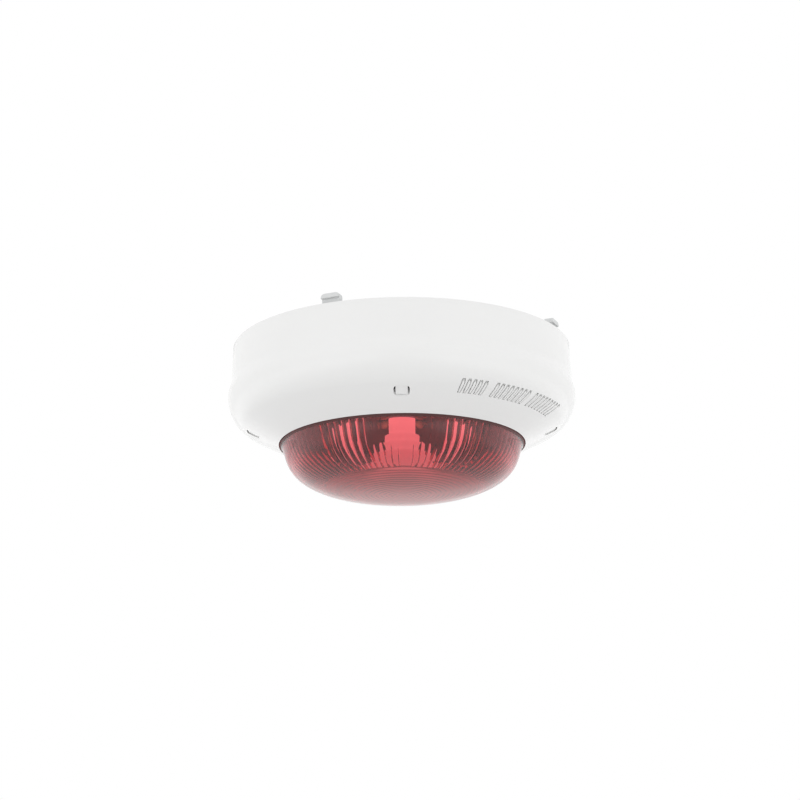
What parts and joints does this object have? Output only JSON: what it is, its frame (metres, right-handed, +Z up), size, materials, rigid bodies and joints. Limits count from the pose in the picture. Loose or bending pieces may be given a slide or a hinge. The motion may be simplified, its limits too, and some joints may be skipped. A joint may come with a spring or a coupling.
{
  "type": "horn strobe",
  "caption": "Round ceiling horn strobe head: white flared cover, domed red beacon lens below, piezo sounder inside, grey bayonet chassis behind with address and tone switches.",
  "frame": {"origin": "centre of the flat rear seat, 0.6 mm above the cover's rim", "axes": "+Z up to the ceiling, the lens points down; -Y is the front, where one catch window lies"},
  "size_m": [0.12, 0.12, 0.0555],
  "materials": {
    "white_plastic": "white ABS, satin moulded, very slightly glossy",
    "grey_plastic": "light grey moulded plastic",
    "red_lens": "clear red polycarbonate, glossy outside, ribbed inside",
    "gasket_rubber": "dark soft silicone",
    "black_plastic": "black moulded plastic",
    "brass": "bright spring brass",
    "ceramic": "fired ceramic with a silvered face",
    "mirror_coat": "metallised plastic reflector",
    "board_black": "black solder mask",
    "board_green": "green solder mask",
    "cone_white": "white diffusing plastic",
    "steel": "zinc-plated steel",
    "ribbon": "grey ribbon lead",
    "switch_white": "white moulded plastic",
    "switch_blue": "blue moulded plastic",
    "ferrite": "dark ferrite",
    "copper": "enamelled copper wire",
    "can_aluminium": "bare aluminium can",
    "led_yellow": "phosphor-coated light-emitting diode"
  },
  "bodies": {
    "head": {"front_cover": "white_plastic", "lens": "red_lens", "lens_gasket": "gasket_rubber", "lens_clamp_ring": "black_plastic", "lens_screw_1": "steel", "lens_screw_2": "steel", "lens_screw_3": "steel", "lens_screw_4": "steel", "horn_frame": "white_plastic", "piezo_disc": "brass", "piezo_ceramic": "ceramic", "piezo_clamp_ring": "black_plastic", "ceramic_contact": "brass", "disc_contact": "brass", "beacon_dish": "mirror_coat", "led_board": "board_black", "strobe_led_1": "led_yellow", "strobe_led_2": "led_yellow", "strobe_led_3": "led_yellow", "strobe_led_4": "led_yellow", "light_cone": "cone_white", "cone_screw": "steel", "led_ribbon": "ribbon", "ribbon_socket": "switch_white", "main_board": "board_green", "board_screw_1": "steel", "board_screw_2": "steel", "board_screw_3": "steel", "microcontroller": "black_plastic", "driver_chip": "black_plastic", "reservoir_capacitor_1": "can_aluminium", "reservoir_capacitor_2": "can_aluminium", "inductor_core": "ferrite", "inductor_winding": "copper", "address_switch_tens": "black_plastic", "address_switch_units": "black_plastic", "tone_switch": "switch_blue", "rear_chassis": "grey_plastic", "contact_blade_1": "brass", "contact_blade_2": "brass", "contact_blade_3": "brass", "contact_blade_4": "brass", "frame_screw_1": "steel", "frame_screw_2": "steel", "frame_screw_3": "steel", "frame_screw_4": "steel"},
    "address_dial_tens": {"address_dial_tens": "switch_white"},
    "address_dial_units": {"address_dial_units": "switch_white"},
    "tone_slider_1": {"tone_slider_1": "switch_white"},
    "tone_slider_2": {"tone_slider_2": "switch_white"},
    "tone_slider_3": {"tone_slider_3": "switch_white"},
    "tone_slider_4": {"tone_slider_4": "switch_white"}
  },
  "joints": [
    {"name": "address_turn_tens", "type": "hinge", "parent": "head", "child": "address_dial_tens", "pos_m": [-0.007, 0.031, -0.003], "axis": [0, 0, 1], "continuous": true},
    {"name": "address_turn_units", "type": "hinge", "parent": "head", "child": "address_dial_units", "pos_m": [0.007, 0.031, -0.003], "axis": [0, 0, 1], "continuous": true},
    {"name": "tone_slide_1", "type": "slide", "parent": "head", "child": "tone_slider_1", "axis": [0, -1, 0], "range_m": [0, 0.0016]},
    {"name": "tone_slide_2", "type": "slide", "parent": "head", "child": "tone_slider_2", "axis": [0, -1, 0], "range_m": [0, 0.0016]},
    {"name": "tone_slide_3", "type": "slide", "parent": "head", "child": "tone_slider_3", "axis": [0, -1, 0], "range_m": [0, 0.0016]},
    {"name": "tone_slide_4", "type": "slide", "parent": "head", "child": "tone_slider_4", "axis": [0, -1, 0], "range_m": [0, 0.0016]}
  ]
}
